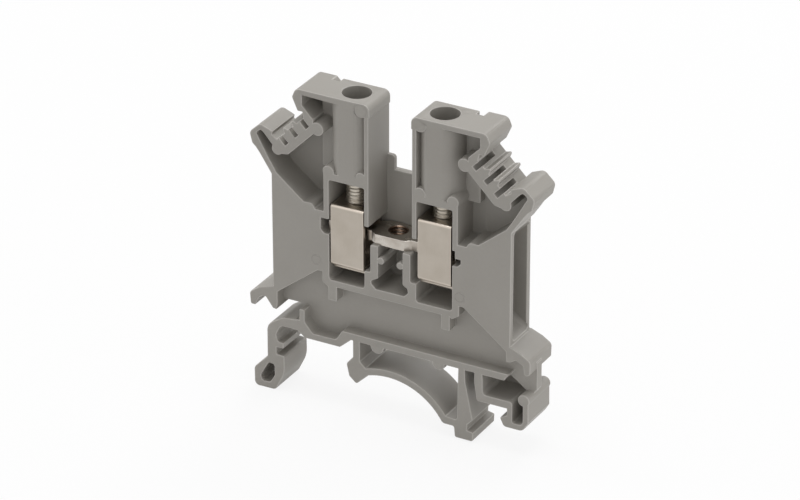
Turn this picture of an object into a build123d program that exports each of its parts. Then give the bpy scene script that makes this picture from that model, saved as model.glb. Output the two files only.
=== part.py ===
"""Feed-through terminal block for a 35 mm top-hat rail: one moulded housing that is open at the
front, a tinned current bar across it, and at each end a rising clamp cage with its screw.

Frame: X along the block, Y from the open front to the closed back, Z up. The origin is the
middle of the width, above the middle of the rail, level with the top of the rail's flanges.
Outlines are drawn on planes parallel to the open front, as (x, z) from the middle of the bar's
underside, and a third number rounds that corner.
"""
import os
from build123d import *

# Housing
width = 6.2                 # pitch of the block on its rail
bar_seat = 19.2             # underside of the current bar above the rail's flanges
chamber_depth = 5.2         # from the open front to the thin back wall
pocket_depth = 4.3          # the upper side pockets are shallower
channel_front, channel_back = 1.7, 3.1      # the web behind the beam over the rail
hook_wall = 5.0             # where the wall behind the fixed hook starts
tower_back, groove_back = 5.8, 6.0          # towers and marker grooves stop short of the back plane

# Screwdriver towers
axis_x, axis_y = 6.55, 3.0  # screw axes, measured from the middle and from the front plane
tower_radius = 3.2          # flattened where it meets the front plane
shaft_radius = 2.0          # takes a 4 mm screwdriver
tower_foot, tower_roof, tower_top = 9.1, 19.45, 20.25
ledge = 9.9                 # floor of the shaft, under the screw's head
slab_bottom = 8.4
notch_start = 4.8           # notch beside the tower's cap

# Wire funnels
throat_x, mouth_x = 9.6, 18.2
funnel_front = 0.85
throat_height, throat_mid, throat_round = 4.2, -2.85, 1.8
mouth_height, mouth_mid, mouth_round = 16.5, -1.4, 0.6
back_wall_end, back_cut_height = 17.6, 16.8

# Marker grooves at 45 degrees
groove_floor, slot_floor = 29.2, 27.3       # x + z at the groove's floor and under its slots
slot_half, slot_depth = 0.5, 3.7
slots_at = (-2.5, 0.8, 3.8)                 # x - z of the slots
ridges_at = (-0.7, 1.9)                     # x - z of the ridges between them
ridge_top = 30.15
ridge_rise, ridge_flat, ridge_fall = -0.65, 0.38, 0.7      # from the crest, along x - z

# Arch of the middle foot
arch_x, arch_z, arch_radius, arch_wall = -0.3, -28.84, 9.54, 1.05

# Current bar
bar_thickness = 1.5
bar_front, bar_back = 0.5, 5.1
neck_front, neck_back = 1.15, 4.4
bar_half, shoulder_in, shoulder_out = 9.55, 2.15, 3.0
bar_shift = -0.35           # the bar lies a little to the left in its slot
tapped_radius = 1.25        # M3, core diameter

# Clamp cages
cage_length = 4.95          # along the wire
cage_front, cage_back, cage_strip = 0.1, 5.15, 0.55
cage_high, cage_floor = 4.5, -4.0           # top, and the face that presses on the wire
cage_bend, cage_top_bend = 0.6, 0.35        # outer radii of the folds
lap_start = 1.0             # the strip's outer end laps under the floor from here back
collar_radius, collar_height = 2.05, 1.2    # tapped collar drawn down from the top
cage_lift = 1.05            # the right cage is screwed this much higher
cage_bore = 1.55

# Clamp screws
thread_radius, tip_radius, tip_length = 1.5, 1.1, 0.5
head_radius, head_height, slot_width, slot_sink = 1.85, 1.9, 0.6, 1.0
head_gap = 0.05             # head above its ledge while the tip bears on the bar


def level(depth):
    """Sketch plane parallel to the open front, this deep in the block, level with the bar."""
    return Plane(origin=(0, depth - width / 2, bar_seat), x_dir=(1, 0, 0), z_dir=(0, -1, 0))


def plate(corners):
    """Flat face from its corners, each rounded where it has a third number."""
    with BuildSketch(Plane.XY) as flat:
        with BuildLine():
            Polyline(*[corner[:2] for corner in corners], close=True)
        make_face()
        for x, z, radius in [corner for corner in corners if len(corner) == 3]:
            fillet(flat.vertices().sort_by_distance((x, z))[0], radius)
    return flat.sketch


def band(s, t):
    """Point of a marker groove from x + z and x - z."""
    return ((s + t) / 2, (s - t) / 2)


# Upper half of the housing to the right of the middle: back wall, tower, marker groove, funnel
upper_half = plate([
    (0, 9.0), (2.1, 9.0), (2.1, 11.1, 0.5), (3.25, 11.1), (3.25, 18.4), (3.1, 18.4),
    (3.1, tower_top, 0.9), (14.15, tower_top, 0.9), (14.7, 18.95, 0.5), (13.85, 17.05, 0.25),
    (13.15, 17.1), band(groove_floor, -3.3), band(groove_floor, 4.9), (17.8, 12.65), (17.7, 13.15),
    (19.6, 13.9, 0.8), (21.25, 12.35, 0.8), (20.85, 10.8, 0.5), (20.3, 10.3), (19.75, 9.6),
    (17.95, 6.9),
    (17.9, -9.95), (17.35, -10.7), (11.0, -5.8), (10.3, -5.8), (10.3, -7.3),
    (9.2, -8.0), (8.9, -7.7), (0, -7.7)])
# Pocket between the tower, the marker groove and the funnel, run on behind the tower
side_pocket = plate([
    (3.9, tower_foot), (3.9, tower_roof), (13.2, tower_roof), (13.2, 18.0), (11.5, 16.3),
    (11.5, 14.2), (15.4, 10.3), (16.7, 10.1), (17.75, 11.2), (18.85, 12.45),
    (19.5, 13.1, 0.4), (20.2, 12.4, 0.3), (18.35, 9.1), (17.15, 7.2), (13.1, 3.95),
    (12.2, 4.0), (11.3, 3.25), (10.05, 3.25), (10.05, tower_foot)])
# Clamp chamber, the open middle over the bar, and the notch that holds the bar's tip
chamber = plate([
    (0, 0), (3.0, 0, 0.25), (3.0, -4.1, 0.3), (3.9, -4.1), (3.9, -6.75, 0.4), (9.25, -6.75, 0.4),
    (9.25, 0), (10.0, 0), (10.5, 0.5), (10.5, 2.2), (9.25, 2.2), (9.25, 8.05, 0.25),
    (3.9, 8.05, 0.25), (3.9, 2.5), (3.25, 2.5), (3.25, 12.0), (0, 12.0)])
middle_pocket = plate([
    (-1.85, 0.2), (-1.85, -4.75), (-2.85, -5.3), (-2.85, -5.75), (-2.2, -6.4),
    (2.1, -6.4), (2.65, -5.8), (2.55, -5.15), (1.85, -4.75), (1.85, 0.2)])
bar_tongue = plate([(9.65, 2.3), (9.65, 1.1), (10.6, 1.1), (10.6, 2.3)])

# Guards that hang under the funnel mouths
left_guard = plate([
    (-17.3, -9.8), (-17.95, -9.95), (-20.2, -10.7), (-21.6, -11.7, 0.6), (-21.45, -13.5, 0.3),
    (-20.75, -13.5), (-20.1, -12.2), (-19.2, -11.7, 0.4), (-18.0, -13.3),
    (-17.45, -13.4), (-17.25, -12.4)])
right_guard = plate([
    (17.3, -9.8), (17.95, -9.9), (19.6, -10.55), (20.95, -11.4, 0.7), (20.9, -13.3, 0.4),
    (20.1, -13.75, 0.3), (19.9, -12.2), (18.8, -11.6, 0.5), (18.1, -12.1), (17.35, -12.25)])

# Beam over the rail, dropped at its left end, and the ribs and walls that hang from it
beam = plate([
    (-7.35, -14.05, 0.4), (17.75, -14.05), (17.1, -15.1), (-6.0, -15.1), (-7.7, -16.6),
    (-13.1, -16.6), (-14.4, -15.6), (-14.4, -14.1), (-13.9, -14.1), (-13.9, -12.4),
    (-13.1, -12.4), (-13.1, -14.2), (-11.9, -15.65, 0.5), (-8.3, -15.6, 0.6)])
lever = plate([
    (-13.5, -14.1), (-16.4, -14.35, 1.5), (-18.95, -16.0, 1.6), (-18.95, -20.9), (-21.05, -23.1, 0.9),
    (-21.0, -25.85, 0.7), (-17.75, -25.8, 0.7), (-16.3, -22.9, 4.0), (-16.35, -20.3, 0.3),
    (-17.55, -20.25), (-17.55, -19.2), (-16.45, -19.15), (-16.4, -18.35),
    (-17.3, -18.3, 0.4), (-17.6, -17.3, 0.6), (-16.9, -15.75, 0.8), (-13.5, -15.7)])
lever_eye = plate([
    (-18.8, -21.85, 0.4), (-17.9, -21.95, 0.35), (-17.85, -23.6), (-18.6, -24.85, 0.5),
    (-19.8, -24.9, 0.4), (-20.05, -24.1)])
left_leg = plate([
    (-5.7, -14.9), (-4.65, -14.9), (-4.65, -18.0), (-3.7, -18.9), (-3.3, -19.75), (-5.2, -21.55, 0.3),
    (-6.3, -20.6), (-6.7, -18.8, 0.5), (-5.7, -17.6)])
right_leg = plate([
    (10.25, -14.9), (11.2, -14.9), (11.3, -16.8), (12.45, -22.4), (11.65, -23.2),
    (11.6, -24.1), (12.55, -24.3), (12.5, -25.6, 0.3), (9.8, -25.6, 0.3), (9.65, -24.0, 0.3),
    (8.0, -24.0, 0.5), (7.3, -23.1), (8.4, -22.8), (10.1, -22.95, 0.4)])
fixed_hook = plate([
    (12.65, -14.9), (12.65, -16.6), (13.05, -19.2, 0.3), (17.55, -19.2), (17.55, -20.25),
    (16.5, -20.75, 0.25), (17.1, -22.0, 0.6), (19.9, -22.0, 1.0), (20.75, -20.6), (20.7, -16.8, 0.3),
    (19.9, -16.8), (19.9, -21.15, 0.6), (18.35, -21.15, 0.3), (18.35, -18.05, 0.5),
    (13.95, -18.05, 0.5), (13.85, -14.9)])
hook_back = plate([
    (13.2, -14.5), (17.5, -14.5), (19.2, -16.5), (20.3, -16.9), (20.3, -21.4, 0.3), (18.1, -21.4, 0.3),
    (18.1, -18.6), (13.4, -18.6)])
channel_web = plate([
    (-17.5, -12.4), (-17.5, -10.0), (-10.8, -5.5), (10.8, -5.5), (17.5, -9.9), (20.0, -11.4),
    (21.1, -12.2), (21.1, -16.3), (20.3, -17.2), (19.3, -16.5), (17.2, -15.0),
    (17.0, -14.5), (-7.5, -14.5), (-8.4, -16.0), (-12.0, -16.0), (-13.5, -14.3), (-13.5, -12.4)])
floor_ribs = ((-8.75, -8.6), (8.3, -8.6))
floor_rib_size = (1.3, 2.4)

# Round pads where the ejector pins push: x, z, radius
mirrored_pads = (
    (9.3, 9.25, 0.85), (4.4, 9.35, 0.85), (4.4, 19.2, 0.95), (12.2, 3.2, 0.8), (10.95, 15.05, 0.95),
    (17.0, 10.75, 0.85))
rail_pads = ((-2.0, -15.1, 1.0), (7.3, -15.2, 0.9), (20.0, -17.4, 0.85))
middle_nub_x, middle_nub_z, middle_nub_radius = 1.45, -2.05, 0.5

# HOUSING
with BuildPart() as housing:
    # walls and ribs that run the full width
    with BuildSketch(level(0)):
        add(upper_half)
        mirror(about=Plane.YZ)
        for shape in (left_guard, right_guard, beam, lever, left_leg, right_leg, fixed_hook):
            add(shape)
        with Locations(*floor_ribs):
            Rectangle(*floor_rib_size)
    extrude(amount=-width)
    with BuildSketch(level(0)):
        with Locations((arch_x, arch_z)):
            Circle(arch_radius + arch_wall)
            Circle(arch_radius, mode=Mode.SUBTRACT)
        with Locations((2.0, -19.0)):
            Rectangle(13.0, 9.6, mode=Mode.INTERSECT)
    extrude(amount=-width)
    with BuildSketch(level(0)):
        for x, z, radius in rail_pads:
            with Locations((x, z)):
                Circle(radius)
    extrude(amount=-width)
    with BuildSketch(level(channel_front)):
        add(channel_web)
    extrude(amount=channel_front - channel_back)
    with BuildSketch(level(hook_wall)):
        add(hook_back)
    extrude(amount=hook_wall - width)

    # pockets sunk from the open front
    with BuildSketch(level(0)):
        add(side_pocket)
        mirror(about=Plane.YZ)
    extrude(amount=-pocket_depth, mode=Mode.SUBTRACT)
    with BuildSketch(level(0)):
        add(chamber)
        mirror(about=Plane.YZ)
        add(middle_pocket)
    extrude(amount=-chamber_depth, mode=Mode.SUBTRACT)
    with BuildSketch(level(0)):
        add(lever_eye)
    extrude(amount=-width, mode=Mode.SUBTRACT)

    # what stands in the pockets: towers with their slabs, ejector pads, nubs and the bar's tongue
    slab_height = tower_roof - slab_bottom + 0.2
    for side in (-1, 1):
        with BuildSketch(Plane.XY.offset(bar_seat + tower_foot - 0.5)):
            with Locations((side * axis_x, axis_y - width / 2)):
                Circle(tower_radius)
            with Locations((side * axis_x, 0)):
                Rectangle(2 * tower_radius, width, mode=Mode.INTERSECT)
        extrude(amount=tower_roof - tower_foot + 1.0)
        with BuildSketch(level(axis_y)):
            with Locations((side * 9.9, slab_bottom + slab_height / 2)):
                Rectangle(3.8, slab_height)
        extrude(amount=axis_y - pocket_depth - 0.2)
    with BuildSketch(level(0)):
        for x, z, radius in mirrored_pads:
            with Locations((x, z), (-x, z)):
                Circle(radius)
        with Locations((middle_nub_x, middle_nub_z), (-middle_nub_x, middle_nub_z)):
            Circle(middle_nub_radius)
    extrude(amount=-width + 0.5)
    with BuildSketch(level(0)):
        add(bar_tongue)
    extrude(amount=-1.0)

    # marker grooves: ridges over the floor, and slots sunk to half the width
    with BuildSketch(level(0)):
        for t in ridges_at:
            add(plate([
                band(groove_floor - 0.2, t + ridge_rise), band(ridge_top, t),
                band(ridge_top - 0.15, t + ridge_flat), band(groove_floor - 0.2, t + ridge_fall)]))
        mirror(about=Plane.YZ)
    extrude(amount=-width)
    with BuildSketch(level(0)):
        for t in slots_at:
            add(plate([
                band(slot_floor, t - slot_half), band(groove_floor + 0.5, t - slot_half),
                band(groove_floor + 0.5, t + slot_half), band(slot_floor, t + slot_half)]))
        mirror(about=Plane.YZ)
    extrude(amount=-slot_depth, mode=Mode.SUBTRACT)

    # screwdriver shafts, with the narrower holes for the threads
    with BuildSketch(Plane.XY.offset(bar_seat + ledge)):
        with Locations((-axis_x, axis_y - width / 2), (axis_x, axis_y - width / 2)):
            Circle(shaft_radius)
    extrude(amount=tower_top - ledge + 1.0, mode=Mode.SUBTRACT)
    with BuildSketch(Plane.XY.offset(bar_seat + 7.0)):
        with Locations((-axis_x, axis_y - width / 2), (axis_x, axis_y - width / 2)):
            Circle(thread_radius + 0.1)
    extrude(amount=ledge - 7.0 + 0.5, mode=Mode.SUBTRACT)

    # wire funnels: wide at the mouth, round at the clamp
    funnel_mid = (funnel_front + chamber_depth) / 2 - width / 2
    funnel_width = chamber_depth - funnel_front
    for side in (-1, 1):
        with BuildSketch(Plane(origin=(side * throat_x, funnel_mid, bar_seat + throat_mid),
                               x_dir=(0, 1, 0), z_dir=(1, 0, 0))):
            RectangleRounded(funnel_width, throat_height, throat_round)
        with BuildSketch(Plane(origin=(side * mouth_x, funnel_mid, bar_seat + mouth_mid),
                               x_dir=(0, 1, 0), z_dir=(1, 0, 0))):
            RectangleRounded(funnel_width, mouth_height, mouth_round)
        loft(ruled=True, mode=Mode.SUBTRACT)
        with BuildSketch(Plane(origin=(side * (throat_x - 1.0), funnel_mid, bar_seat + throat_mid),
                               x_dir=(0, 1, 0), z_dir=(1, 0, 0))):
            RectangleRounded(funnel_width, throat_height, throat_round)
        extrude(amount=side * 1.1, mode=Mode.SUBTRACT)

    # relief at the back: towers and grooves stop short, funnel walls are cut back, a notch at each cap
    with BuildSketch(level(tower_back)):
        with Locations((0, 15.0)):
            Rectangle(20.3, 12.0)
    extrude(amount=tower_back - width - 0.5, mode=Mode.SUBTRACT)
    with BuildSketch(level(groove_back)):
        with Locations((-17.5, 13.0), (17.5, 13.0)):
            Rectangle(9.0, 8.1)
    extrude(amount=groove_back - width - 0.5, mode=Mode.SUBTRACT)
    with BuildSketch(level(chamber_depth)):
        with Locations((back_wall_end + 1.0, -1.5), (-back_wall_end - 1.0, -1.5)):
            Rectangle(2.0, back_cut_height)
    extrude(amount=chamber_depth - width - 0.5, mode=Mode.SUBTRACT)
    with BuildSketch(level(notch_start)):
        add(plate([(10.15, 21.0), (10.15, 19.1), (11.3, 20.25), (11.3, 21.0)]))
        mirror(about=Plane.YZ)
    extrude(amount=notch_start - width - 0.5, mode=Mode.SUBTRACT)

housing.part.label = "housing"

# CURRENT BAR
with BuildPart() as current_bar:
    bar_mid = width / 2
    bar_outline = plate([
        (-bar_half, neck_front), (-shoulder_out, neck_front, 0.2), (-shoulder_in, bar_front, 0.3),
        (shoulder_in, bar_front, 0.3), (shoulder_out, neck_front, 0.2), (bar_half, neck_front),
        (bar_half, neck_back), (shoulder_out, neck_back, 0.2), (shoulder_in, bar_back, 0.3),
        (-shoulder_in, bar_back, 0.3), (-shoulder_out, neck_back, 0.2), (-bar_half, neck_back)])
    with BuildSketch(Plane(origin=(bar_shift, -bar_mid, bar_seat))):
        add(bar_outline)
    extrude(amount=bar_thickness)
    with BuildSketch(Plane(origin=(bar_shift, axis_y - bar_mid, bar_seat))):
        Circle(tapped_radius)
    extrude(amount=bar_thickness, mode=Mode.SUBTRACT)
current_bar.part.label = "current_bar"


def make_cage(side, lift):
    """Clamp cage folded from strip, lapped at the bottom, open along X for the bar and the wire."""
    floor_under = cage_floor - cage_strip
    lap_under = floor_under - cage_strip
    outer = plate([
        (cage_front, floor_under, cage_bend), (lap_start, floor_under), (lap_start, lap_under),
        (cage_back, lap_under, 2 * cage_bend), (cage_back, cage_high, cage_bend),
        (cage_front, cage_high, cage_top_bend)])
    inner = plate([
        (cage_front + cage_strip, cage_floor), (cage_back - cage_strip, cage_floor, 0.4),
        (cage_back - cage_strip, cage_high - cage_strip),
        (cage_front + cage_strip, cage_high - cage_strip)])
    collar_top = cage_high - cage_strip / 2
    collar_bottom = cage_high - cage_strip - collar_height
    middle = (side * axis_x, axis_y - width / 2)
    with BuildPart() as cage:
        with BuildSketch(Plane(origin=(middle[0] - cage_length / 2, -width / 2, bar_seat + lift),
                               x_dir=(0, 1, 0), z_dir=(1, 0, 0))):
            add(outer)
            add(inner, mode=Mode.SUBTRACT)
        extrude(amount=cage_length)
        with BuildSketch(Plane.XY.offset(bar_seat + lift + collar_bottom)):
            with Locations(middle):
                Circle(collar_radius)
            with Locations((middle[0], (cage_front + cage_back - width) / 2)):
                Rectangle(cage_length, cage_back - cage_front - cage_strip, mode=Mode.INTERSECT)
        extrude(amount=collar_top - collar_bottom)
        with BuildSketch(Plane.XY.offset(bar_seat + lift + collar_bottom - 0.1)):
            with Locations(middle):
                Circle(cage_bore)
        extrude(amount=cage_high - collar_bottom + 0.2, mode=Mode.SUBTRACT)
    return cage.part


def make_screw(side):
    """Slotted clamp screw, its tip on the bar and its head in the shaft."""
    top = ledge + head_gap + head_height
    with BuildPart() as screw:
        with BuildSketch(Plane(origin=(side * axis_x, axis_y - width / 2, bar_seat),
                               x_dir=(1, 0, 0), z_dir=(0, -1, 0))):
            with BuildLine():
                Polyline((0, bar_thickness), (tip_radius, bar_thickness),
                         (thread_radius, bar_thickness + tip_length),
                         (thread_radius, ledge + head_gap), (head_radius, ledge + head_gap),
                         (head_radius, top), (0, top), close=True)
            make_face()
        revolve(axis=Axis((side * axis_x, axis_y - width / 2, 0), (0, 0, 1)))
        with BuildSketch(Plane.XY.offset(bar_seat + top - slot_sink)):
            with Locations((side * axis_x, axis_y - width / 2)):
                Rectangle(2 * head_radius + 1.0, slot_width)
        extrude(amount=slot_sink + 0.5, mode=Mode.SUBTRACT)
    return screw.part


# CAGES AND SCREWS
left_cage = make_cage(-1, 0)
right_cage = make_cage(1, cage_lift)
left_screw = make_screw(-1)
right_screw = make_screw(1)

os.makedirs("parts", exist_ok=True)
for name, piece in (("housing", housing.part), ("current_bar", current_bar.part),
                    ("left_cage", left_cage), ("right_cage", right_cage),
                    ("left_screw", left_screw), ("right_screw", right_screw)):
    piece.label = name
    export_step(piece, f"parts/{name}.step")
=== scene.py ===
from math import pi, radians

import bmesh
import bpy
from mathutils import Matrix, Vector


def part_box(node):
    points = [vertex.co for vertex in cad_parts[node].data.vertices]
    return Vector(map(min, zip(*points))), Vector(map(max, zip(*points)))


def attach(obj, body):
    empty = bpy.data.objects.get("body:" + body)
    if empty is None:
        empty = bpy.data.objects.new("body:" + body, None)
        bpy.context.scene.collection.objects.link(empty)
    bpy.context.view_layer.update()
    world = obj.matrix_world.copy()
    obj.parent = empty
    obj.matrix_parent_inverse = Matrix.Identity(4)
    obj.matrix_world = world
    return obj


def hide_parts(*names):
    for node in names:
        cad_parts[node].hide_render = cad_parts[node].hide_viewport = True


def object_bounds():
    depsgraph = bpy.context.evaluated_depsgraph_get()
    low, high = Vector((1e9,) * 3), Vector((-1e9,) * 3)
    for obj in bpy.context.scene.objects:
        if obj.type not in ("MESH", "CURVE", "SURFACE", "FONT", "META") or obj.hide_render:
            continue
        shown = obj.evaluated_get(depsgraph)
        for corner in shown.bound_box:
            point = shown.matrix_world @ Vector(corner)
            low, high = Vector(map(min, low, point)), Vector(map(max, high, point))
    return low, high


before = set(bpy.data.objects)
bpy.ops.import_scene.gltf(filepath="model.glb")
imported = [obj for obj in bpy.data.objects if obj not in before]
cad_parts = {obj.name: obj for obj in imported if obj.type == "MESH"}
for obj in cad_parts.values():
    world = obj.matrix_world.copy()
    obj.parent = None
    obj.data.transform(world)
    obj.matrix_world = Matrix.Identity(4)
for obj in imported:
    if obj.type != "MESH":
        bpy.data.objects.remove(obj)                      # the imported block: housing, bar, cages and screws, in metres
cadLow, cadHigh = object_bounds()
mm = 0.001                             # the pieces' dictionaries give lengths in mm, and colours linear
white = (1, 1, 1, 1)

# Small helpers for working on one object at a time


def pickOnly(thing):
    # everything else is deselected first, because operators act on all that is selected
    if bpy.context.mode != "OBJECT":
        bpy.ops.object.mode_set(mode="OBJECT")
    bpy.ops.object.select_all(action="DESELECT")
    thing.select_set(True)
    bpy.context.view_layer.objects.active = thing


def applyAll(thing):
    pickOnly(thing)
    for modifier in list(thing.modifiers):
        bpy.ops.object.modifier_apply(modifier=modifier.name)


def settle(thing, name):
    # the place goes into the mesh, so that the object sits at the origin as the CAD nodes do
    pickOnly(thing)
    bpy.ops.object.transform_apply(location=True, rotation=True, scale=True)
    thing.name = name
    thing.data.name = name
    return thing


def cut(thing, tool, operation="DIFFERENCE"):
    modifier = thing.modifiers.new("cut", "BOOLEAN")
    modifier.object = tool
    modifier.operation = operation
    modifier.solver = "EXACT"
    applyAll(thing)
    bpy.data.objects.remove(tool)


def softenEdges(thing, finish, look):
    # rounds the sharp edges and marks the bulging new faces as rim, where the finish paints a paler
    # highlight along the edges
    # they are told apart by the second slot, which goes again
    thing.data.materials.clear()
    for slot in range(2):
        thing.data.materials.append(finish)
    bevel = thing.modifiers.new("edges", "BEVEL")
    bevel.material = 1
    bevel.width = look["edge"] * mm
    bevel.segments = 2
    bevel.limit_method = "ANGLE"
    bevel.angle_limit = radians(look["edgeAngle"])
    bevel.use_clamp_overlap = False
    bevel.miter_outer = "MITER_SHARP"
    bevel.loop_slide = False
    applyAll(thing)
    markRimHighlight(thing, lambda face: face.material_index and bulges(face))
    thing.data.materials.pop()


def bulges(face):
    # true where the surface bends away from its neighbours, and not in an inner corner
    return sum(edge.calc_face_angle_signed(0) for edge in face.edges) > 0


def markRimHighlight(thing, share):
    # share is 0 to 1 for each face, how much painted highlight it gets, and the materials read it back
    # from the attribute stored here
    mesh = bmesh.new()
    mesh.from_mesh(thing.data)
    rimHighlight = mesh.faces.layers.float.get("rimHighlight") or mesh.faces.layers.float.new("rimHighlight")
    for face in mesh.faces:
        face[rimHighlight] = share(face)
        face.material_index = 0
    mesh.to_mesh(thing.data)
    mesh.free()


def selectWhere(thing, wanted):
    # all are deselected before any is selected, because neighbours share their edges
    mesh = bmesh.from_edit_mesh(thing.data)
    for face in mesh.faces:
        face.select_set(False)
    for face in mesh.faces:
        if wanted(face):
            face.select_set(True)
    bmesh.update_edit_mesh(thing.data)


def smoothFaces(thing, upTo=35, weigh=True):
    # edges up to this many degrees are shaded round, and weighing keeps the large flat faces flat
    pickOnly(thing)
    bpy.ops.object.shade_smooth_by_angle(angle=radians(upTo))
    if weigh:
        thing.modifiers.new("flats", "WEIGHTED_NORMAL").keep_sharp = True
        applyAll(thing)


def dropSlivers(thing, below=0.001):
    # cuts and bevels leave faces of hardly any width, and below is in mm
    pickOnly(thing)
    bpy.ops.object.mode_set(mode="EDIT")
    bpy.ops.mesh.select_all(action="SELECT")
    bpy.ops.mesh.dissolve_degenerate(threshold=below * mm)
    bpy.ops.object.mode_set(mode="OBJECT")


def keepInside(thing, nodeName):
    # nothing stands out of the CAD piece's own box
    low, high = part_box(nodeName)
    for vertex in thing.data.vertices:
        vertex.co = [min(max(vertex.co[k], low[k]), high[k]) for k in range(3)]


def mergedCopy(nodeName, pieceName):
    # a copy of the CAD mesh with its loose triangles joined
    piece = bpy.data.objects.new(pieceName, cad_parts[nodeName].data.copy())
    bpy.context.scene.collection.objects.link(piece)
    piece.data.name = pieceName
    piece.data.materials.clear()
    pickOnly(piece)
    bpy.ops.object.mode_set(mode="EDIT")
    bpy.ops.mesh.select_all(action="SELECT")
    bpy.ops.mesh.customdata_custom_splitnormals_clear()
    bpy.ops.mesh.remove_doubles(threshold=0.002 * mm)      # far finer than the CAD's facets
    bpy.ops.object.mode_set(mode="OBJECT")
    return piece


# Shader nodes, and values that Python operators work on


class Wire:
    def __init__(self, nodes, socket):
        self.nodes = nodes
        self.socket = socket

    def __add__(self, other):
        return self.nodes.math("ADD", self, other)

    def __sub__(self, other):
        return self.nodes.math("SUBTRACT", self, other)

    def __rsub__(self, other):
        return self.nodes.math("SUBTRACT", other, self)

    def __mul__(self, other):
        return self.nodes.math("MULTIPLY", self, other)

    __radd__ = __add__
    __rmul__ = __mul__


class Nodes:
    # the nodes of the world, or of one material

    def __init__(self, owner):
        owner.use_nodes = True
        self.owner = owner
        self.tree = owner.node_tree
        self.tree.nodes.clear()

    def add(self, kind, sockets, output=0, **settings):
        # the settings come first, because they decide which sockets the node has
        node = self.tree.nodes.new(kind)
        for key, value in settings.items():
            setattr(node, key, value)
        for key, value in sockets.items():
            if isinstance(value, Wire):
                self.tree.links.new(value.socket, node.inputs[key])
            elif value is not None:
                node.inputs[key].default_value = value
        return Wire(self, node.outputs[output]) if node.outputs else None

    def math(self, operation, first, second=None, clamp=False):
        return self.add("ShaderNodeMath", {0: first, 1: second}, operation=operation, use_clamp=clamp)

    def vector(self, operation, first, second=None, output="Vector"):
        return self.add("ShaderNodeVectorMath", {0: first, 1: second}, output, operation=operation)

    def ray(self, kind):
        # 1 where a ray of this kind meets the surface, and otherwise 0
        return self.add("ShaderNodeLightPath", {}, "Is " + kind + " Ray")


class Shop(Nodes):
    # one material, with the patterns that the finishes are made of

    def __init__(self, name):
        super().__init__(bpy.data.materials.new(name))
        self.place = self.add("ShaderNodeTexCoord", {}, "Object")

    def noise(self, perMm, detail=2.0, roughness=0.5, stretch=(1, 1, 1)):
        # stretch above 1 packs the pattern closer along that axis, and most of it is from 0.3 to 0.7
        place = self.add("ShaderNodeMapping", {"Vector": self.place, "Scale": stretch})
        return self.add("ShaderNodeTexNoise", {"Vector": place, "Scale": perMm / mm, "Detail": detail,
                                               "Roughness": roughness})

    def span(self, value, low, high, toLow=0.0, toHigh=1.0):
        # low to high becomes toLow to toHigh, and stays there beyond
        return self.add("ShaderNodeMapRange", {"Value": value, "From Min": low, "From Max": high,
                                               "To Min": toLow, "To Max": toHigh})

    def blend(self, share, first, second):
        # of colours, for which the Mix node has its sockets 6 and 7 and its output 2
        first, second = [value if isinstance(value, Wire) else (*value, 1) for value in (first, second)]
        return self.add("ShaderNodeMix", {0: share, 6: first, 7: second}, 2, data_type="RGBA")

    # the share of painted highlight on the rounded edges and folds
    def rimHighlight(self):
        return self.add("ShaderNodeAttribute", {}, "Fac", attribute_name="rimHighlight")

    def away(self, point, scale=(1, 1, 1)):
        # distance from a point, along the axes that scale keeps
        offset = self.vector("SUBTRACT", self.place, point)
        return self.vector("LENGTH", self.vector("MULTIPLY", offset, scale), output="Value")

    def relief(self, height, distance, strength):
        return self.add("ShaderNodeBump", {"Height": height, "Distance": distance, "Strength": strength})

    def cover(self, shader):
        self.add("ShaderNodeOutputMaterial", {"Surface": shader})
        return self.owner

    def finish(self, sockets):
        return self.cover(self.add("ShaderNodeBsdfPrincipled", sockets))


# Camera: the photograph's viewpoint, as solved from the block's straight edges in it

shot = {
    "place": (0.26798, -0.48733, 0.30746),                 # metres
    "azimuth": 28.824,
    "elevation": 27.513,
    "lens": 213.57,
    "sensor": 36,
    "near": 0.05,
    "far": 20,
}


def makeCamera():
    data = bpy.data.cameras.new("shot")
    data.lens = shot["lens"]
    data.sensor_width = shot["sensor"]
    data.clip_start = shot["near"]
    data.clip_end = shot["far"]
    camera = bpy.data.objects.new("shot", data)
    bpy.context.scene.collection.objects.link(camera)
    camera.location = shot["place"]
    camera.rotation_euler = (radians(90 - shot["elevation"]), 0, radians(shot["azimuth"]))
    bpy.context.scene.camera = camera
    print("camera set")


# Lights: a pale room with soft lamps above and around, in metres

lighting = {
    "room": 0.58,                      # what the room gives to the object
    "backdrop": 1.0,                   # what the camera and reflections see of it
    "size": 0.35,                      # across each lamp
    "lamps": {
        "overhead": {"place": (0, 0, 0.6), "watts": 1.2},
        "rightSide": {"place": (0.6, 0, 0.15), "watts": 0.55},
        "leftSide": {"place": (-0.6, 0, 0.15), "watts": 0.9},
        "backSide": {"place": (0, 0.55, 0.35), "watts": 0.8},
    },
    "aim": (0, 0, 0.016),
}


def makeRoom():
    # an even white room, brighter to the camera and in reflections than its light on the object
    nodes = Nodes(bpy.data.worlds.new("room"))
    lit = nodes.add("ShaderNodeBackground", {"Color": white, "Strength": lighting["room"]})
    seen = nodes.add("ShaderNodeBackground", {"Color": white, "Strength": lighting["backdrop"]})
    share = nodes.math("MAXIMUM", nodes.ray("Camera"), nodes.ray("Glossy"))
    mix = nodes.add("ShaderNodeMixShader", {0: share, 1: lit, 2: seen})
    nodes.add("ShaderNodeOutputWorld", {"Surface": mix})
    bpy.context.scene.world = nodes.owner
    bpy.context.scene.view_settings.view_transform = "Standard"
    print("room set")


def makeLamps():
    aim = Vector(lighting["aim"])
    for name, lamp in lighting["lamps"].items():
        data = bpy.data.lights.new(name, "AREA")
        data.shape = "DISK"
        data.size = lighting["size"]
        data.energy = lamp["watts"]
        thing = bpy.data.objects.new(name, data)
        bpy.context.scene.collection.objects.link(thing)
        thing.location = lamp["place"]
        thing.rotation_mode = "QUATERNION"
        thing.rotation_quaternion = (aim - thing.location).to_track_quat("-Z", "Y")
    print("lamps set")


# Moulded housing

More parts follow.
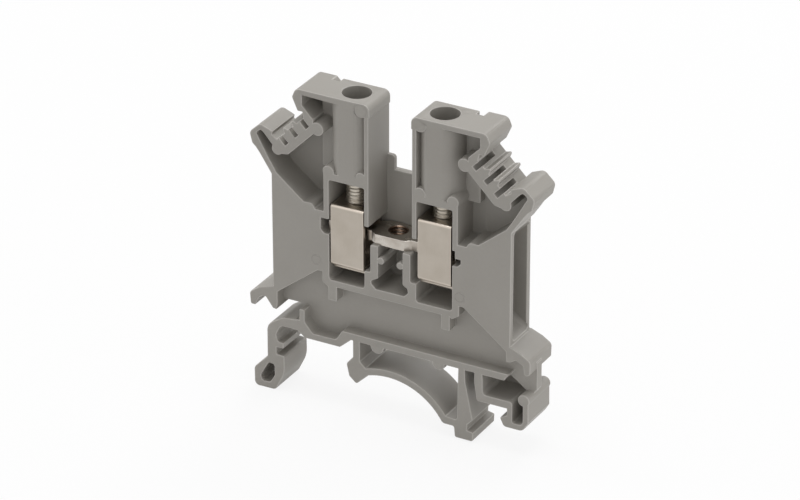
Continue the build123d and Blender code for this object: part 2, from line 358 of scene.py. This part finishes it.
moulding = {
    "colour": (0.300, 0.282, 0.254),
    "paler": (0.328, 0.310, 0.282),
    # a paler colour on the rounded edges, which is a painted highlight, and how much of it
    "rimHighlight": (0.46, 0.44, 0.41),
    "rimHighlightShare": 0.8,
    "edge": 0.11,                      # width of the rounding on every moulded edge, mm
    "edgeAngle": 32,                   # least turn of an edge that is rounded, degrees
    "roughness": (0.46, 0.58),
    "cloudPerMm": 0.12,
    "fleckPerMm": 2.2,
    "grainPerMm": 9.0,
    "grain": 0.012,                    # relief of the moulded surface, mm
    "bump": 0.55,
    "ior": 1.53,
    "pinMarks": ((-11.15, 14.95, 0.65), (10.45, 14.8, 0.65), (-4.4, 38.4, 0.95)),  # x, z and radius, mm
    "pinGroove": 0.16,                 # half the width of the ring that an ejector pin leaves
    "pinDepth": 13,                    # depth of that ring, in times the grain
}


def greyPolyamide():
    shop = Shop("greyPolyamide")
    cloud = shop.span(shop.noise(moulding["cloudPerMm"], detail=3), 0.35, 0.65)
    fleck = shop.span(shop.noise(moulding["fleckPerMm"]), 0.3, 0.7)
    height = shop.noise(moulding["grainPerMm"], roughness=0.6)
    colour = shop.blend(cloud * 0.7 + fleck * 0.3, moulding["colour"], moulding["paler"])
    # the rounded edges get a painted highlight
    colour = shop.blend(shop.rimHighlight() * moulding["rimHighlightShare"], colour, moulding["rimHighlight"])
    roughness = shop.span(fleck * 0.5 + cloud * 0.5, 0.0, 1.0, *moulding["roughness"])
    for x, z, radius in moulding["pinMarks"]:
        fromRing = shop.math("ABSOLUTE", shop.away((x * mm, cadLow.y, z * mm)) - radius * mm)
        height = height - shop.span(fromRing, moulding["pinGroove"] * mm, 0, 0, moulding["pinDepth"])
    return shop.finish({"Base Color": colour, "Roughness": roughness, "IOR": moulding["ior"],
                        "Normal": shop.relief(height, moulding["grain"] * mm, moulding["bump"])})


def makeHousing():
    piece = mergedCopy("housing", "moulded_housing")
    softenEdges(piece, greyPolyamide(), moulding)
    dropSlivers(piece)
    smoothFaces(piece)
    keepInside(piece, "housing")
    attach(piece, "housing")
    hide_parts("housing")
    print("housing", len(piece.data.polygons), "faces")


# Folded clamp cages

strip = {
    "nickel": (0.42, 0.375, 0.32),
    "bright": (0.48, 0.435, 0.38),
    "paintedHighlight": (0.74, 0.66, 0.57),      # a painted highlight on the folds and edges, where the strip reflects the bright room
    "edge": 0.07,
    "edgeAngle": 35,
    "roughness": (0.30, 0.42),
    "rollingPerMm": 1.6,
    "rolling": (6, 6, 0.35),           # fine across the strip, drawn out along it
    "stainPerMm": 0.35,
    "grain": 0.006,                    # relief of the rolled surface, mm
    "bump": 0.5,
    "ior": 1.45,
}


def nickelStrip():
    shop = Shop("nickelStrip")
    rolled = shop.noise(strip["rollingPerMm"], detail=4, roughness=0.6, stretch=strip["rolling"])
    stain = shop.span(shop.noise(strip["stainPerMm"], detail=3), 0.38, 0.66)
    colour = shop.blend(stain * 0.6 + shop.span(rolled, 0.3, 0.7) * 0.4, strip["nickel"], strip["bright"])
    # painted highlight on the folds and edges
    colour = shop.blend(shop.rimHighlight(), colour, strip["paintedHighlight"])
    roughness = shop.span(rolled, 0.3, 0.7, *strip["roughness"])
    return shop.finish({"Base Color": colour, "Metallic": 1, "Roughness": roughness, "IOR": strip["ior"],
                        "Normal": shop.relief(rolled, strip["grain"] * mm, strip["bump"])})


def onFold(face):
    # 0 on the strip's flat sides, and nearly 1 half way round a fold
    straightness = max(abs(number) for number in face.normal)
    return max(0.0, 1 - straightness ** 8) ** 0.5


def makeCages():
    finish = nickelStrip()
    for side in ("left", "right"):
        node = side + "_cage"
        piece = mergedCopy(node, side + "_folded_cage")
        softenEdges(piece, finish, strip)
        # the folds get the painted highlight, most of it half way round each fold
        markRimHighlight(piece, onFold)
        smoothFaces(piece)
        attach(piece, node)
        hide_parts(node)
    print("cages done")


# Threads, for the clamp screws and for the bar's middle hole

thread = {
    "pitch": 0.5,
    "crest": 1.5,
    "root": 1.32,
    "steps": 48,                       # corners in one turn
    "join": 0.001,                     # points closer than this are one, mm
}


def threadedRod(root, crest, low, high):
    # one turn's profile is drawn from a single point, wound up the axis and closed at both ends
    pitch = thread["pitch"] * mm
    join = thread["join"] * mm
    turns = int((high - low) / pitch) + 3
    start = low - pitch
    flat = pitch / 8
    flank = pitch * 5 / 16
    bpy.ops.object.select_all(action="DESELECT")
    bpy.ops.mesh.primitive_plane_add(size=mm, location=(0, 0, 0))
    rod = bpy.context.object
    bpy.ops.object.mode_set(mode="EDIT")
    bpy.ops.mesh.merge(type="CENTER")
    bpy.ops.transform.translate(value=(root, 0, start))
    for outward, upward in ((0, flat), (crest - root, flank), (0, flat), (root - crest, flank), (0, flat)):
        bpy.ops.mesh.extrude_vertices_move(TRANSFORM_OT_translate={"value": (outward, 0, upward)})
    bpy.ops.object.mode_set(mode="OBJECT")
    winding = rod.modifiers.new("winding", "SCREW")
    winding.axis = "Z"
    winding.angle = 2 * pi
    winding.screw_offset = pitch
    winding.iterations = turns
    winding.steps = winding.render_steps = thread["steps"]
    winding.use_merge_vertices = True
    winding.merge_threshold = join
    applyAll(rod)
    bpy.ops.object.mode_set(mode="EDIT")
    for height, away in ((low, -1), (high, 1)):
        bpy.ops.mesh.select_all(action="SELECT")
        bpy.ops.mesh.bisect(plane_co=(0, 0, height), plane_no=(0, 0, away), use_fill=True,
                            clear_outer=True, threshold=join / 10)
    bpy.ops.mesh.select_all(action="SELECT")
    bpy.ops.mesh.remove_doubles(threshold=join)
    bpy.ops.mesh.normals_make_consistent(inside=False)
    bpy.ops.object.mode_set(mode="OBJECT")
    return rod


# Clamp screws

screw = {
    "headRadius": 1.85,
    "headHeight": 1.9,
    "slotWidth": 0.6,
    "slotDepth": 1.0,
    "slotLength": 6,                   # past both sides of the head
    "corners": 64,                     # round the head and the blank of the tip
    "tipChamfer": 0.42,
    "crestTrim": 0.02,                 # clearance of the blank that trims the thread's tip
    "intoHead": 0.1,                   # how far the shank reaches into the head
    "zinc": (0.56, 0.52, 0.455),
    "bright": (0.68, 0.635, 0.565),
    # a paler colour on the rounded edges, which is a painted highlight, and how much of it
    "paintedHighlight": (0.70, 0.66, 0.60),
    "paintedHighlightShare": 0.6,
    "edge": 0.05,
    "edgeAngle": 50,
    "sliver": 0.004,                   # width of what its roundings leave over, mm
    "roughness": (0.34, 0.44),
    "smearPerMm": 1.4,
    "grainPerMm": 12,
    "grain": 0.004,
    "bump": 0.5,
}


def zincSteel():
    shop = Shop("zincSteel")
    smear = shop.span(shop.noise(screw["smearPerMm"], detail=3), 0.35, 0.65)
    grain = shop.noise(screw["grainPerMm"])
    colour = shop.blend(smear, screw["zinc"], screw["bright"])
    # painted highlight on the rounded edges
    colour = shop.blend(shop.rimHighlight() * screw["paintedHighlightShare"], colour, screw["paintedHighlight"])
    roughness = shop.span(smear, 0, 1, *screw["roughness"])
    return shop.finish({"Base Color": colour, "Metallic": 1, "Roughness": roughness,
                        "Normal": shop.relief(grain, screw["grain"] * mm, screw["bump"])})


def cylinder(radius, low, high):
    bpy.ops.object.select_all(action="DESELECT")
    bpy.ops.mesh.primitive_cylinder_add(vertices=screw["corners"], radius=radius, depth=high - low,
                                        location=(0, 0, (low + high) / 2))
    return bpy.context.object


def tipBlank(low, high):
    # the thread is kept only inside this cylinder, whose lower end is chamfered
    blank = cylinder((thread["crest"] + screw["crestTrim"]) * mm, low, high)
    bpy.ops.object.mode_set(mode="EDIT")
    selectWhere(blank, lambda face: face.normal.z < -0.5)
    bpy.ops.mesh.bevel(offset=screw["tipChamfer"] * mm, segments=1, affect="EDGES")
    bpy.ops.object.mode_set(mode="OBJECT")
    return settle(blank, "blank")


def slottedHead(low, high):
    head = settle(cylinder(screw["headRadius"] * mm, low, high), "head")
    bpy.ops.object.select_all(action="DESELECT")
    bpy.ops.mesh.primitive_cube_add(size=1, location=(0, 0, high))
    blade = bpy.context.object
    blade.scale = (screw["slotLength"] * mm, screw["slotWidth"] * mm, 2 * screw["slotDepth"] * mm)
    settle(blade, "blade")
    cut(head, blade)
    return head


def makeScrews():
    low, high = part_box("left_screw")
    centre = (low + high) / 2
    underHead = high.z - screw["headHeight"] * mm
    shankTop = underHead + screw["intoHead"] * mm
    rod = threadedRod(thread["root"] * mm, thread["crest"] * mm, low.z, shankTop)
    cut(rod, tipBlank(low.z, high.z + mm), "INTERSECT")
    cut(rod, slottedHead(underHead, high.z), "UNION")
    softenEdges(rod, zincSteel(), screw)
    dropSlivers(rod, screw["sliver"])
    smoothFaces(rod)
    for side, sign in (("left", 1), ("right", -1)):
        piece = bpy.data.objects.new(side + "_clamp_screw", rod.data.copy())
        bpy.context.scene.collection.objects.link(piece)
        piece.location = (sign * centre.x, centre.y, 0)
        settle(piece, side + "_clamp_screw")
        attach(piece, side + "_screw")
        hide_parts(side + "_screw")
    bpy.data.objects.remove(rod)
    print("screws done")


# Current bar

bar = {
    "tin": (0.56, 0.525, 0.475),
    "dull": (0.44, 0.395, 0.345),
    "copper": (0.19, 0.13, 0.095),
    # a paler colour on the rounded edges, which is a painted highlight, and how much of it
    "paintedHighlight": (0.62, 0.58, 0.53),
    "paintedHighlightShare": 0.7,
    "edge": 0.07,
    "edgeAngle": 35,
    "roughness": (0.34, 0.26),
    "smearPerMm": 0.9,
    "grain": 0.003,
    "bump": 0.3,
    "core": 1.2,                       # radii of the tapped hole, mm
    "thread": 1.4,
    "bareEdge": 0.05,                  # softness of the edge of the bare copper in the hole
    "tapSpare": 0.4,                   # how far the tap stands out of the bar
}


def tinnedBar(hole):
    shop = Shop("tinnedBar")
    smear = shop.span(shop.noise(bar["smearPerMm"], detail=4, stretch=(0.5, 1, 1)), 0.35, 0.65)
    colour = shop.blend(smear, bar["dull"], bar["tin"])
    # painted highlight on the rounded edges
    colour = shop.blend(shop.rimHighlight() * bar["paintedHighlightShare"], colour, bar["paintedHighlight"])
    bare = shop.span(shop.away(hole, (1, 1, 0)),
                     (bar["thread"] + bar["bareEdge"]) * mm, (bar["thread"] - bar["bareEdge"]) * mm)
    colour = shop.blend(bare, colour, bar["copper"])
    roughness = shop.span(smear, 0, 1, *bar["roughness"])
    return shop.finish({"Base Color": colour, "Metallic": 1, "Roughness": roughness,
                        "Normal": shop.relief(smear, bar["grain"] * mm, bar["bump"])})


def makeBar():
    low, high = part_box("current_bar")
    screwLow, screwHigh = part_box("left_screw")
    hole = Vector(((low.x + high.x) / 2, (screwLow.y + screwHigh.y) / 2, 0))
    piece = mergedCopy("current_bar", "tinned_current_bar")
    softenEdges(piece, tinnedBar(hole), bar)
    spare = bar["tapSpare"] * mm
    tap = threadedRod(bar["core"] * mm, bar["thread"] * mm, low.z - spare, high.z + spare)
    tap.location = hole
    settle(tap, "tap")
    cut(piece, tap)
    dropSlivers(piece)
    smoothFaces(piece, upTo=12, weigh=False)
    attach(piece, "housing")
    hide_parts("current_bar")
    print("bar done")


# Floor

floor = {
    "size": 6.0,
    "colour": (0.86, 0.86, 0.86),
    "roughness": 0.8,
    "seenWhite": 0.86,                 # share of plain white that the camera and reflections see
}


def floorPaper():
    # nearly white to the camera and in reflections, and it still takes the object's shadow
    shop = Shop("floorPaper")
    paper = shop.add("ShaderNodeBsdfPrincipled", {"Base Color": (*floor["colour"], 1),
                                                  "Roughness": floor["roughness"]})
    glow = shop.add("ShaderNodeEmission", {"Color": white, "Strength": 1})
    seen = shop.math("ADD", shop.ray("Camera") + shop.ray("Glossy"), shop.ray("Transmission"), clamp=True)
    return shop.cover(shop.add("ShaderNodeMixShader", {0: seen * floor["seenWhite"], 1: paper, 2: glow}))


def makeFloor():
    bpy.ops.object.select_all(action="DESELECT")
    bpy.ops.mesh.primitive_plane_add(size=floor["size"], location=(0, 0, cadLow.z))
    ground = settle(bpy.context.object, "floor")
    ground.data.materials.append(floorPaper())
    print("floor done")


makeCamera()
makeRoom()
makeLamps()
makeFloor()
makeHousing()
makeCages()
makeScrews()
makeBar()
